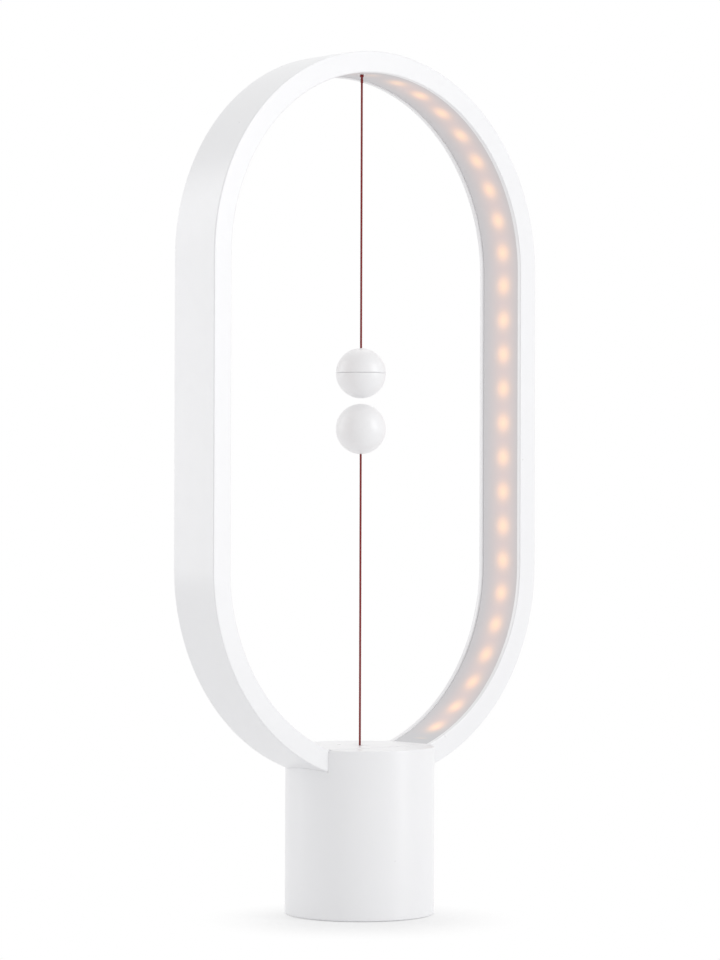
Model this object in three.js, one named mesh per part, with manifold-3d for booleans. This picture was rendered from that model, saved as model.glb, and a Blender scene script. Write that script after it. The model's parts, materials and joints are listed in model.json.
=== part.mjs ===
// A table lamp with an oblong ring of light on a round base.
// Two magnet balls on red strings float one above the other and work the switch.
// Lengths are in millimetres, +Z is up, the front is -Y and the origin is under the base's middle.
import * as THREE from 'three';
import { mergeVertices } from 'three/addons/utils/BufferGeometryUtils.js';
import Module from 'manifold-3d';

const wasm = await Module();
wasm.setup();

// Clearances and the overrun of cuts
const fitGap = 0.3;
const overrun = 2;

// Ring: an oblong loop of channel section that is open inwards
const ringWidth = 198.4;
const ringHeight = 340.1;
const ringDepth = 29.4;
const ringThickness = 10;
const ringRim = 2.5;
const ringWeb = 3.5;
const ringSink = 15.2;

// Diffuser in the ring's channel
const diffuserRecess = 0.5;
const diffuserThickness = 2;
const diffuserEndAcross = 43;

// Strip of light diodes behind the diffuser
const stripWidth = 8;
const stripThickness = 0.4;
const stripForward = 3.2;
const stripEndAcross = 46;
const diodePitch = 16.7;
const diodeLength = 2.8;
const diodeWidth = 3.5;
const diodeHeight = 0.8;
const firstDiodeAlong = 215.5;

// Base
const baseDiameter = 70;
const baseHeight = 78.5;
const baseWall = 2.5;
const baseTop = 3;
const slotFloor = 5;
const slotWall = 2.5;
const pillarRadius = 4.2;
const footPadMargin = 0.5;
const footPadThickness = 1.6;
const footPadProud = 0.8;
const bottomPlateThickness = 3;
const ballastMargin = 2.3;
const ballastThickness = 10;

// Screws: large ones hold the housings, small ones hold the switch
const screwRadius = 1.4;
const screwHeadRadius = 2.6;
const screwHeadHeight = 1.5;
const smallScrewRadius = 0.9;
const smallScrewHeadRadius = 1.7;
const smallScrewHeadHeight = 1;
const bottomScrewLength = 11;
const ballastScrewLength = 9;
const ringScrewLength = 15;
const ringScrewOffset = 16;
const bracketScrewLength = 6;
const bracketScrewOffset = 9;
const boardScrewLength = 3.2;
const switchScrewLength = 8.4;

// Cover over the ring's foot, and the eyelet in it
const coverEdge = 0.5;
const coverBossRadius = 3.2;
const baseEyeletRadius = 3.2;
const baseEyeletFlange = 1;
const baseEyeletFlangeThickness = 0.8;
const baseEyeletLip = 1.2;
const baseEyeletHole = 1.8;

// Guide sleeve, its nut, the plunger and the return spring
const plungerRadius = 2;
const plungerSlideGap = 0.4;
const sleeveRadius = 3.6;
const sleeveFlangeRadius = 5;
const sleeveFlangeThickness = 1.6;
const sleeveNutRadius = 6.2;
const sleeveNutThickness = 2.4;
const springSpace = 5;
const springMeanRadius = 3.4;
const springWireRadius = 0.3;
const springTurns = 3;
const plungerFlangeRadius = 4.6;
const plungerFlangeThickness = 1.2;
const plungerTipLength = 2.4;
const plungerTipRadius = 1.2;

// Microswitch with its lever and button
const switchLength = 12.8;
const switchDepth = 5.8;
const switchHeight = 6.5;
const leverArm = 8;
const leverOverhang = 3;
const leverThickness = 0.4;
const leverWidth = 4;
const leverRise = 20;
const leverBarrelRadius = 1.1;
const leverPinRadius = 0.5;
const leverPinGap = 0.2;
const leverEarRadius = 1.3;
const leverEarThickness = 0.6;
const leverStandOff = 1.6;
const buttonRadius = 0.9;
const buttonArm = 4;
const buttonProud = 2.3;
const buttonDepth = 1.7;
const buttonTravelRoom = 1.3;
const switchHoleSpacing = 6.5;
const switchHoleHeight = 1.8;
const terminalLength = 3.2;
const terminalWidth = 3;
const terminalThickness = 0.5;
const terminalSpacing = 5;

// Bracket that carries the microswitch
const bracketThickness = 2.2;
const bracketFlangeWidth = 25;
const bracketFlangeDepth = 10;
const bracketBossRadius = 1.8;

// Circuit board with its parts and the power inlet
const boardSideMargin = 3.3;
const boardCornerMargin = 0.5;
const boardDepth = 21;
const boardThickness = 1.6;
const boardPostRadius = 2.5;
const boardPostHeight = 3;
const boardPostSideInset = 4;
const boardPostFrontInset = 5.5;
const boardPostStep = 3.5;
const chipSize = 5;
const chipHeight = 1.5;
const capacitorRadius = 2.5;
const capacitorHeight = 5;
const inletWidth = 7.6;
const inletHeight = 2.8;
const inletLength = 6;
const inletWall = 0.4;
const inletRecess = 0.8;
const inletTongueThickness = 0.7;
const inletTongueWidth = 4;

// Wires inside the base
const ledLeadRadius = 0.8;
const ledLeadOffset = 9;
const ledLeadForward = 8;
const switchLeadRadius = 0.5;

// Strings, their knots and the two balls
const stringDiameter = 0.9;
const ballDiameter = 23.6;
const ballWall = 2;
const ballGap = 2.6;
const upperStringDrop = 139.9;
const seamChamfer = 0.35;
const stringHoleGap = 0.35;
const magnetRadius = 5;
const magnetThickness = 4;
const ballKnotRadius = 1.4;
const upperKnotRadius = 0.9;
const lowerKnotRadius = 1;
const lowerKnotSink = 0.5;
const topEyeletRadius = 2.2;
const topEyeletFlange = 1.3;
const topEyeletFlangeThickness = 0.8;
const topEyeletCup = 1.6;

// How finely round shapes are divided
const ringArcSteps = 24;
const roundSides = 48;
const smallSides = 12;
const hexagonSides = 6;
const ballSides = 24;
const ballArcSteps = 6;
const tipArcSteps = 4;
const stringSides = 8;
const stringSteps = 36;
const leadSteps = 14;
const springSides = 6;

// Places that follow from the sizes above
const ringOuterRadius = ringWidth / 2;
const ringInnerRadius = ringOuterRadius - ringThickness;
const channelRadius = ringOuterRadius - ringWeb;
const channelWidth = ringDepth - 2 * ringRim;
const halfStraight = (ringHeight - ringWidth) / 2;
const ringSeat = baseHeight - ringSink;
const ringMiddle = ringSeat + ringHeight / 2;
const lowerArcHeight = ringMiddle - halfStraight;
const upperArcHeight = ringMiddle + halfStraight;
const diffuserRadius = ringInnerRadius + diffuserRecess;
const stripOuterRadius = channelRadius - fitGap;
const stripInnerRadius = stripOuterRadius - stripThickness;
const baseRadius = baseDiameter / 2;
const baseInnerRadius = baseRadius - baseWall;
const slotHalfWidth = ringDepth / 2 + fitGap;
const floorUnder = ringSeat - fitGap - slotFloor;
const bottomPlateTop = footPadThickness + bottomPlateThickness;
const bottomScrewSeat = footPadThickness + screwHeadHeight + fitGap;
const ballastTop = bottomPlateTop + ballastThickness;
const boardBottom = ballastTop + boardPostHeight;
const boardTop = boardBottom + boardThickness;
const footPadRadius = baseInnerRadius - footPadMargin;
const pillarReach = baseInnerRadius - screwHeadRadius - 3 * fitGap;
const pillarOffset = pillarReach * Math.SQRT1_2;
const ballastRadius = pillarReach - pillarRadius - ballastMargin;
const boardHalf = pillarOffset - pillarRadius - boardSideMargin;
const boardBack = Math.sqrt((baseInnerRadius - boardCornerMargin) ** 2 - boardHalf ** 2);
const boardFront = boardBack - boardDepth;
const screwHoleRadius = screwRadius + fitGap;
const smallScrewHoleRadius = smallScrewRadius + fitGap;
const coverRadius = ringInnerRadius - fitGap;
const coverUnder = lowerArcHeight - coverRadius;
const slideBore = plungerRadius + plungerSlideGap;
const plungerFlangeTop = floorUnder - sleeveFlangeThickness - springSpace;
const plungerTip = plungerFlangeTop - plungerFlangeThickness - plungerTipLength;
const lowerPivot = baseHeight - lowerKnotSink;
const upperPivot = upperArcHeight + ringInnerRadius;
const ballRadius = ballDiameter / 2;
const ballInnerRadius = ballRadius - ballWall;
const upperBallHeight = upperPivot - upperStringDrop;
const lowerBallHeight = upperBallHeight - ballDiameter - ballGap;
const stringHoleRadius = stringDiameter / 2 + stringHoleGap;

// Finishes
function finish(colour, roughness, metalness) {
  return new THREE.MeshStandardMaterial({ color: colour, roughness, metalness });
}
const whitePlastic = finish(0xf2f2f4, 0.45, 0);
const whiteBall = finish(0xeeeef0, 0.4, 0);
const frostedPlastic = finish(0xe8dcd8, 0.6, 0);
const stripBoard = finish(0xf4f4f0, 0.5, 0);
const redString = finish(0x8c2f33, 0.85, 0);
const greyRubber = finish(0x5a5a5c, 0.9, 0);
const steel = finish(0xb4b6b8, 0.35, 1);
const brass = finish(0xc8a860, 0.35, 1);
const blackPlastic = finish(0x222224, 0.5, 0);
const creamPlastic = finish(0xe6dfc8, 0.5, 0);
const greenBoard = finish(0x2c6a44, 0.5, 0);
const redInsulation = finish(0xa83030, 0.6, 0);

// Turns a closed three.js geometry into a solid that can be joined and cut
function solidOf(geometry) {
  const bare = geometry.index ? geometry.toNonIndexed() : geometry;
  bare.deleteAttribute('normal');
  bare.deleteAttribute('uv');
  const merged = mergeVertices(bare);
  const points = merged.attributes.position.array;
  const corners = [];
  let volume = 0;
  for (let i = 0; i < merged.index.count; i += 3) {
    const [a, b, c] = [0, 1, 2].map((k) => merged.index.array[i + k]);
    if (a === b || b === c || c === a) continue;
    corners.push([a, b, c]);
    const [p, q, r] = [a, b, c].map((k) => new THREE.Vector3().fromArray(points, 3 * k));
    volume += p.dot(q.cross(r));
  }
  const facing = volume < 0 ? corners.map(([a, b, c]) => [a, c, b]) : corners;
  return new wasm.Manifold(new wasm.Mesh({
    numProp: 3,
    vertProperties: new Float32Array(points),
    triVerts: new Uint32Array(facing.flat()),
  }));
}

const join = (first, ...others) => others.reduce((whole, next) => whole.add(next), first);
const cut = (first, ...others) => others.reduce((whole, next) => whole.subtract(next), first);

// Box between two corners
function block(low, high) {
  const size = high.map((value, axis) => value - low[axis]);
  const middle = high.map((value, axis) => (value + low[axis]) / 2);
  return solidOf(new THREE.BoxGeometry(...size).translate(...middle));
}

// Upright round rod from one height to another
function rod(radius, low, high, x = 0, y = 0, sides = smallSides) {
  const shape = new THREE.CylinderGeometry(radius, radius, high - low, sides);
  return solidOf(shape.rotateX(Math.PI / 2).translate(x, y, (low + high) / 2));
}

// Round rod that lies along Y
function crossRod(radius, front, back, x, z, sides = smallSides) {
  const shape = new THREE.CylinderGeometry(radius, radius, back - front, sides);
  return solidOf(shape.translate(x, (front + back) / 2, z));
}

// Shape turned about the Z axis from [radius, height] pairs
function turned(profile, sides = smallSides) {
  const points = profile.map(([radius, height]) => new THREE.Vector2(radius, height));
  return solidOf(new THREE.LatheGeometry(points, sides).rotateX(Math.PI / 2));
}

// Outline in the ring's plane pushed out to a depth along Y, about a middle
function plate(shape, depth, middle = 0) {
  const settings = { depth, bevelEnabled: false, curveSegments: ringArcSteps };
  const geometry = new THREE.ExtrudeGeometry(shape, settings);
  return solidOf(geometry.translate(0, 0, -depth / 2).rotateX(Math.PI / 2).translate(0, middle, 0));
}

// Round wire along a list of points
function wire(points, radius, steps, sides = stringSides) {
  const section = new THREE.Shape();
  for (let i = 0; i < sides; i += 1) {
    const turn = (2 * Math.PI * i) / sides;
    const corner = [radius * Math.cos(turn), radius * Math.sin(turn)];
    if (i === 0) section.moveTo(...corner);
    else section.lineTo(...corner);
  }
  section.closePath();
  const path = new THREE.CatmullRomCurve3(points.map((point) => new THREE.Vector3(...point)));
  return solidOf(new THREE.ExtrudeGeometry(section, { steps, extrudePath: path, bevelEnabled: false }));
}

// Ball on the Z axis at a height
function ball(radius, height) {
  return solidOf(new THREE.SphereGeometry(radius, smallSides, ballArcSteps).translate(0, 0, height));
}

// Oblong with half-round ends, at a radius from the two arc centres
function oblong(radius) {
  const shape = new THREE.Shape();
  shape.moveTo(radius, lowerArcHeight);
  shape.lineTo(radius, upperArcHeight);
  shape.absarc(0, upperArcHeight, radius, 0, Math.PI);
  shape.lineTo(-radius, lowerArcHeight);
  shape.absarc(0, lowerArcHeight, radius, Math.PI, 2 * Math.PI);
  return shape;
}

// Height of the lower arc of a radius at a distance from the middle
const arcHeight = (radius, x) => lowerArcHeight - Math.sqrt(radius ** 2 - x ** 2);

const lamp = new THREE.Group();

function piece(name, solid, material, group = lamp) {
  const mesh = solid.getMesh();
  const geometry = new THREE.BufferGeometry();
  geometry.setAttribute('position', new THREE.BufferAttribute(mesh.vertProperties, 3));
  geometry.setIndex(new THREE.BufferAttribute(mesh.triVerts, 1));
  geometry.computeVertexNormals();
  const made = new THREE.Mesh(geometry, material);
  made.name = name;
  group.add(made);
  return made;
}

// Pan-head screw with its head's seat at height 0 and its shank going up
function screw(radius, headRadius, headHeight, length) {
  const profile = [
    [0, -headHeight],
    [headRadius - headHeight / 2, -headHeight],
    [headRadius, -headHeight / 2],
    [headRadius, 0],
    [radius, 0],
    [radius, length - radius],
    [radius / 2, length],
    [0, length],
  ];
  return turned(profile);
}

// Oblong band that is open at the bottom between its two ends
function bandAt(innerRadius, outerRadius, width, middle, endAcross) {
  const reach = width + overrun;
  const band = cut(plate(oblong(outerRadius), width, middle), plate(oblong(innerRadius), reach, middle));
  const gapLow = [-endAcross / 2, middle - reach, lowerArcHeight - outerRadius - overrun];
  const gapHigh = [endAcross / 2, middle + reach, lowerArcHeight];
  return cut(band, block(gapLow, gapHigh));
}

function makeRingHousing() {
  const opening = plate(oblong(ringInnerRadius), ringDepth + overrun);
  const channel = plate(oblong(channelRadius), channelWidth);
  const holeLow = ringSeat - overrun;
  const holeHigh = arcHeight(channelRadius, ringScrewOffset + screwHoleRadius) + overrun;
  const holes = [
    rod(sleeveRadius + fitGap, holeLow, holeHigh),
    rod(screwHoleRadius, holeLow, holeHigh, ringScrewOffset),
    rod(screwHoleRadius, holeLow, holeHigh, -ringScrewOffset),
    rod(ledLeadRadius + 2 * fitGap, holeLow, holeHigh, ledLeadOffset, -ledLeadForward),
  ];
  return cut(plate(oblong(ringOuterRadius), ringDepth), opening, channel, ...holes);
}

function makeDiffuser() {
  const outer = diffuserRadius + diffuserThickness;
  const width = channelWidth - 2 * fitGap;
  const band = bandAt(diffuserRadius, outer, width, 0, diffuserEndAcross);
  const top = upperArcHeight + outer + overrun;
  return cut(band, rod(topEyeletRadius + fitGap, top - diffuserThickness - 2 * overrun, top));
}

// Place and turn of a point along the strip, counted up the right side from its middle
function alongStrip(distance, radius) {
  const side = 2 * halfStraight;
  const bend = Math.PI * radius;
  const lap = 2 * (side + bend);
  const from = (((distance + halfStraight) % lap) + lap) % lap;
  if (from < side) return { x: radius, z: lowerArcHeight + from, turn: 0 };
  if (from < side + bend) {
    const turn = (from - side) / radius;
    return { x: radius * Math.cos(turn), z: upperArcHeight + radius * Math.sin(turn), turn };
  }
  if (from < 2 * side + bend) return { x: -radius, z: upperArcHeight - (from - side - bend), turn: Math.PI };
  const turn = Math.PI + (from - 2 * side - bend) / radius;
  return { x: radius * Math.cos(turn), z: lowerArcHeight + radius * Math.sin(turn), turn };
}

function makeStrip() {
  const middle = -stripForward;
  const band = bandAt(stripInnerRadius, stripOuterRadius, stripWidth, middle, stripEndAcross);
  const halfLap = 2 * halfStraight + Math.PI * stripInnerRadius;
  const diodesEachWay = Math.floor((halfLap - firstDiodeAlong / 2) / diodePitch);
  const diodes = [];
  for (let i = -diodesEachWay; i <= diodesEachWay; i += 1) {
    const place = alongStrip(firstDiodeAlong - i * diodePitch, stripInnerRadius);
    const clearOfEnd = stripEndAcross / 2 + diodeLength;
    if (place.z < lowerArcHeight && Math.abs(place.x) < clearOfEnd) continue;
    const depth = diodeHeight + stripThickness / 2;
    const body = new THREE.BoxGeometry(depth, diodeWidth, diodeLength);
    body.translate((stripThickness / 2 - diodeHeight) / 2, 0, 0);
    body.rotateY(-place.turn);
    diodes.push(solidOf(body.translate(place.x, middle, place.z)));
  }
  return join(band, ...diodes);
}

function makeTopEyelet() {
  const face = upperArcHeight + diffuserRadius;
  const back = face + diffuserThickness + fitGap;
  const cupRadius = upperKnotRadius + fitGap;
  const profile = [
    [cupRadius, face],
    [topEyeletRadius, face],
    [topEyeletRadius, back],
    [topEyeletRadius + topEyeletFlange, back],
    [topEyeletRadius + topEyeletFlange, back + topEyeletFlangeThickness],
    [0, back + topEyeletFlangeThickness],
    [0, face + topEyeletCup],
    [cupRadius, face + topEyeletCup],
    [cupRadius, face],
  ];
  return turned(profile);
}

const pillarSides = [[1, 1], [-1, 1], [-1, -1], [1, -1]];
const pillarPlaces = pillarSides.map(([x, y]) => [x * pillarOffset, y * pillarOffset]);

function makeBaseShell() {
  const roof = baseHeight - baseTop;
  const sideWall = slotHalfWidth + slotWall;
  const deck = block([-baseRadius, -sideWall, floorUnder], [baseRadius, sideWall, baseHeight]);
  const inside = cut(rod(baseInnerRadius, -overrun, roof, 0, 0, roundSides), deck);
  let shell = cut(rod(baseRadius, footPadProud, baseHeight, 0, 0, roundSides), inside);
  for (const [x, y] of pillarPlaces) {
    shell = join(shell, rod(pillarRadius, bottomPlateTop, baseHeight - baseTop / 2, x, y));
  }
  const slot = plate(oblong(ringOuterRadius + fitGap), 2 * slotHalfWidth);
  shell = cut(shell, slot);
  const screwDepth = bottomScrewSeat + bottomScrewLength + fitGap;
  for (const [x, y] of pillarPlaces) {
    shell = cut(shell, rod(screwHoleRadius, -overrun, screwDepth, x, y));
  }
  const holeHigh = arcHeight(ringOuterRadius, ringScrewOffset + screwHoleRadius) + overrun;
  const bracketHoleTop = floorUnder + bracketScrewLength - bracketThickness + fitGap;
  const inletHalf = inletWidth / 2 + fitGap;
  return cut(
    shell,
    rod(sleeveRadius + fitGap, floorUnder - overrun, holeHigh),
    rod(screwHoleRadius, floorUnder - overrun, holeHigh, ringScrewOffset),
    rod(screwHoleRadius, floorUnder - overrun, holeHigh, -ringScrewOffset),
    rod(ledLeadRadius + 2 * fitGap, floorUnder - overrun, holeHigh, ledLeadOffset, -ledLeadForward),
    rod(screwHoleRadius, floorUnder - overrun, bracketHoleTop, bracketScrewOffset, bracketScrewBack),
    rod(screwHoleRadius, floorUnder - overrun, bracketHoleTop, -bracketScrewOffset, bracketScrewBack),
    block(
      [-inletHalf, baseInnerRadius - overrun, boardTop - fitGap],
      [inletHalf, baseRadius + overrun, boardTop + inletHeight + fitGap],
    ),
  );
}

function makeBottomPlate() {
  let disc = rod(baseInnerRadius - fitGap, footPadThickness, bottomPlateTop, 0, 0, roundSides);
  for (const [x, y] of [...pillarPlaces, [0, 0]]) {
    const headRoom = rod(screwHeadRadius + fitGap, footPadThickness - overrun, bottomScrewSeat, x, y);
    disc = cut(disc, headRoom, rod(screwHoleRadius, 0, bottomPlateTop + overrun, x, y));
  }
  return disc;
}

function makeFootPad() {
  return rod(footPadRadius, 0, footPadThickness, 0, 0, roundSides);
}

function makeBallast() {
  const hole = ballastScrewLength - bottomPlateThickness + screwHeadHeight + 2 * fitGap;
  const disc = rod(ballastRadius, bottomPlateTop, ballastTop, 0, 0, roundSides);
  return cut(disc, rod(screwHoleRadius, 0, bottomPlateTop + hole));
}

// Segment of a disc that fills the ring's foot level with the base's top
function makeCover() {
  const edgeLow = baseHeight - coverEdge;
  const reach = Math.sqrt(coverRadius ** 2 - (lowerArcHeight - edgeLow) ** 2);
  const spread = Math.asin(reach / coverRadius);
  const outline = new THREE.Shape();
  outline.moveTo(-reach, edgeLow);
  outline.absarc(0, lowerArcHeight, coverRadius, -Math.PI / 2 - spread, -Math.PI / 2 + spread);
  outline.lineTo(reach, baseHeight);
  outline.lineTo(-reach, baseHeight);
  let cover = plate(outline, ringDepth);
  const bossLow = arcHeight(channelRadius, ringScrewOffset + coverBossRadius) + fitGap;
  const tip = floorUnder + ringScrewLength + fitGap;
  for (const side of [-1, 1]) {
    const x = side * ringScrewOffset;
    cover = join(cover, rod(coverBossRadius, bossLow, baseHeight - coverEdge, x));
    cover = cut(cover, rod(screwHoleRadius, bossLow - overrun, tip, x));
  }
  return cut(cover, rod(baseEyeletRadius + fitGap, coverUnder - overrun, baseHeight + overrun));
}

const eyeletFlangeTop = coverUnder - fitGap;
const eyeletLow = eyeletFlangeTop - baseEyeletFlangeThickness;

function makeBaseEyelet() {
  const profile = [
    [slideBore, eyeletLow],
    [baseEyeletRadius + baseEyeletFlange, eyeletLow],
    [baseEyeletRadius + baseEyeletFlange, eyeletFlangeTop],
    [baseEyeletRadius, eyeletFlangeTop],
    [baseEyeletRadius, baseHeight],
    [baseEyeletHole, baseHeight],
    [baseEyeletHole, baseHeight - baseEyeletLip],
    [slideBore, baseHeight - baseEyeletLip],
    [slideBore, eyeletLow],
  ];
  return turned(profile);
}

function makeGuideSleeve() {
  const flangeLow = floorUnder - sleeveFlangeThickness;
  const profile = [
    [slideBore, flangeLow],
    [sleeveFlangeRadius, flangeLow],
    [sleeveFlangeRadius, floorUnder],
    [sleeveRadius, floorUnder],
    [sleeveRadius, eyeletLow - fitGap],
    [slideBore, eyeletLow - fitGap],
    [slideBore, flangeLow],
  ];
  return turned(profile);
}

function makeSleeveNut() {
  const low = arcHeight(channelRadius, sleeveNutRadius) + fitGap;
  const hexagon = rod(sleeveNutRadius, low, low + sleeveNutThickness, 0, 0, hexagonSides);
  return cut(hexagon, rod(sleeveRadius + fitGap, low - overrun, low + sleeveNutThickness + overrun));
}

function makePlunger() {
  const flangeLow = plungerFlangeTop - plungerFlangeThickness;
  const top = lowerPivot - lowerKnotRadius - fitGap;
  const profile = [[0, plungerTip]];
  for (let i = 1; i <= tipArcSteps; i += 1) {
    const turn = (i / tipArcSteps) * (Math.PI / 2);
    profile.push([plungerTipRadius * Math.sin(turn), plungerTip + plungerTipRadius * (1 - Math.cos(turn))]);
  }
  profile.push(
    [plungerTipRadius, flangeLow],
    [plungerFlangeRadius, flangeLow],
    [plungerFlangeRadius, plungerFlangeTop],
    [plungerRadius, plungerFlangeTop],
    [plungerRadius, top],
    [0, top],
  );
  return turned(profile);
}

function makeReturnSpring() {
  const low = plungerFlangeTop + fitGap + springWireRadius;
  const high = floorUnder - sleeveFlangeThickness - fitGap - springWireRadius;
  const steps = springTurns * smallSides;
  const points = [];
  for (let i = 0; i <= steps; i += 1) {
    const turn = (2 * Math.PI * i) / smallSides;
    const height = low + ((high - low) * i) / steps;
    points.push([springMeanRadius * Math.cos(turn), springMeanRadius * Math.sin(turn), height]);
  }
  return wire(points, springWireRadius, steps, springSides);
}

// Lever line: the plunger's tip rests on it at a share of the rise
const rise = THREE.MathUtils.degToRad(leverRise);
const tipCentre = plungerTip + plungerTipRadius;
const leverReach = plungerTipRadius + leverThickness / 2 + fitGap;
const leverPivotHeight = tipCentre - (leverReach + leverArm * Math.sin(rise)) / Math.cos(rise);
const switchTop = leverPivotHeight - leverStandOff;
const switchBottom = switchTop - switchHeight;
const switchLeft = -leverArm - leverEarRadius;
const switchRight = switchLeft + switchLength;
const switchHoles = [-1, 1].map((side) => (switchLeft + switchRight + side * switchHoleSpacing) / 2);
const buttonPlace = -leverArm + buttonArm;
const bracketFront = sleeveFlangeRadius + fitGap;
const bracketScrewBack = bracketFront + bracketFlangeDepth / 2 + bracketThickness / 2;

function makeSwitchBody() {
  const half = switchDepth / 2;
  let body = block([switchLeft, -half, switchBottom], [switchRight, half, switchTop]);
  for (const side of [-1, 1]) {
    const outside = side * half;
    const inside = side * (half - leverEarThickness);
    const [front, back] = [Math.min(inside, outside), Math.max(inside, outside)];
    const post = block(
      [-leverArm - leverEarRadius, front, switchTop - overrun],
      [-leverArm + leverEarRadius, back, leverPivotHeight],
    );
    body = join(body, post, crossRod(leverEarRadius, front, back, -leverArm, leverPivotHeight));
  }
  const pinHoleRadius = leverPinRadius + leverPinGap;
  const pinHole = crossRod(pinHoleRadius, -switchDepth, switchDepth, -leverArm, leverPivotHeight);
  const buttonFloor = switchTop - buttonDepth - buttonTravelRoom;
  body = cut(body, pinHole, rod(buttonRadius + fitGap, buttonFloor, switchTop + overrun, buttonPlace));
  const holeHeight = switchBottom + switchHoleHeight;
  for (const x of switchHoles) {
    body = cut(body, crossRod(smallScrewHoleRadius, -switchDepth, switchDepth, x, holeHeight));
  }
  return body;
}

function makeLever() {
  const half = leverWidth / 2;
  const length = (leverArm + leverOverhang) / Math.cos(rise);
  const blade = new THREE.BoxGeometry(length, leverWidth, leverThickness).translate(length / 2, 0, 0);
  const barrel = crossRod(leverBarrelRadius, -half, half, -leverArm, leverPivotHeight);
  const tilted = solidOf(blade.rotateY(-rise).translate(-leverArm, 0, leverPivotHeight));
  const bore = crossRod(leverPinRadius + leverPinGap, -leverWidth, leverWidth, -leverArm, leverPivotHeight);
  return cut(join(tilted, barrel), bore);
}

function makeBracket() {
  const low = switchBottom;
  const back = bracketFront + bracketThickness;
  const flangeBack = back + bracketFlangeDepth;
  const half = bracketFlangeWidth / 2;
  let bracket = join(
    block([switchLeft, bracketFront, low], [switchRight, back, floorUnder]),
    block([-half, bracketFront, floorUnder - bracketThickness], [half, flangeBack, floorUnder]),
  );
  const holeHeight = switchBottom + switchHoleHeight;
  for (const x of switchHoles) {
    bracket = join(bracket, crossRod(bracketBossRadius, switchDepth / 2, back, x, holeHeight));
    bracket = cut(bracket, crossRod(smallScrewHoleRadius, 0, back + overrun, x, holeHeight));
  }
  const screwHoleLow = floorUnder - 2 * bracketThickness;
  for (const x of [-bracketScrewOffset, bracketScrewOffset]) {
    bracket = cut(bracket, rod(screwHoleRadius, screwHoleLow, floorUnder + overrun, x, bracketScrewBack));
  }
  return bracket;
}

const postPlaces = [
  [boardPostSideInset - boardHalf, boardFront + boardPostFrontInset],
  [boardHalf - boardPostSideInset, boardFront + boardPostFrontInset + boardPostStep],
];

function makeBoard() {
  const middle = (boardFront + boardBack) / 2;
  let board = block([-boardHalf, boardFront, boardBottom], [boardHalf, boardBack, boardTop]);
  const sunk = boardTop - boardThickness / 2;
  const chip = block(
    [-chipSize / 2, middle - chipSize, sunk],
    [chipSize / 2, middle, boardTop + chipHeight],
  );
  const capacitorX = capacitorRadius + fitGap - boardHalf;
  const capacitor = rod(capacitorRadius, sunk, boardTop + capacitorHeight, capacitorX, middle + chipSize);
  board = join(board, chip, capacitor);
  for (const [x, y] of postPlaces) {
    board = cut(board, rod(screwHoleRadius, boardBottom - overrun, boardTop + overrun, x, y));
  }
  return board;
}

function makePost() {
  const post = rod(boardPostRadius, ballastTop, boardBottom);
  return cut(post, rod(screwHoleRadius, ballastTop - overrun, boardBottom + overrun));
}

// Thin metal mouth that is open to the back
function makeInlet() {
  const mouth = baseRadius - inletRecess;
  const half = inletWidth / 2;
  const outer = block([-half, mouth - inletLength, boardTop], [half, mouth, boardTop + inletHeight]);
  const inner = block(
    [inletWall - half, mouth - inletLength + inletWall, boardTop + inletWall],
    [half - inletWall, mouth + overrun, boardTop + inletHeight - inletWall],
  );
  return cut(outer, inner);
}

function makeInletTongue() {
  const mouth = baseRadius - inletRecess;
  const half = inletTongueWidth / 2;
  const middle = boardTop + inletHeight / 2;
  return block(
    [-half, mouth - inletLength + inletWall, middle - inletTongueThickness / 2],
    [half, mouth - inletWall, middle + inletTongueThickness / 2],
  );
}

// Half shells about the ball's centre; the string passes through the pole of one
function makeShell(up, holed, chamfer) {
  const quarter = Math.PI / 2;
  const start = holed ? Math.asin(stringHoleRadius / ballRadius) : 0;
  const innerStart = holed ? Math.asin(stringHoleRadius / ballInnerRadius) : 0;
  const profile = [];
  for (let i = 0; i < ballArcSteps; i += 1) {
    const turn = start + ((quarter - start) * i) / ballArcSteps;
    profile.push([ballRadius * Math.sin(turn), ballRadius * Math.cos(turn)]);
  }
  if (chamfer > 0) profile.push([ballRadius, chamfer]);
  profile.push([ballRadius - chamfer, 0], [ballInnerRadius, 0]);
  for (let i = ballArcSteps - 1; i >= 0; i -= 1) {
    const turn = innerStart + ((quarter - innerStart) * i) / ballArcSteps;
    profile.push([ballInnerRadius * Math.sin(turn), ballInnerRadius * Math.cos(turn)]);
  }
  if (holed) profile.push(profile[0]);
  return turned(profile.map(([radius, height]) => [radius, up * height]), ballSides);
}

// Height of the magnet's outer face from the ball's centre, where its rim meets the shell
const magnetFace = Math.sqrt(ballInnerRadius ** 2 - (magnetRadius + fitGap) ** 2) - fitGap;
const ballKnotHeight = ballInnerRadius - fitGap - ballKnotRadius;

function addBall(name, height, stringSide, chamfer) {
  const group = new THREE.Group();
  group.position.z = height;
  lamp.add(group);
  piece(`${name}_ball_top_shell`, makeShell(1, stringSide > 0, chamfer), whiteBall, group);
  piece(`${name}_ball_bottom_shell`, makeShell(-1, stringSide < 0, chamfer), whiteBall, group);
  const magnetMiddle = -stringSide * (magnetFace - magnetThickness / 2);
  const [low, high] = [magnetMiddle - magnetThickness / 2, magnetMiddle + magnetThickness / 2];
  piece(`${name}_ball_magnet`, rod(magnetRadius, low, high), steel, group);
  piece(`${name}_ball_knot`, ball(ballKnotRadius, stringSide * ballKnotHeight), redString, group);
}

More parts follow.
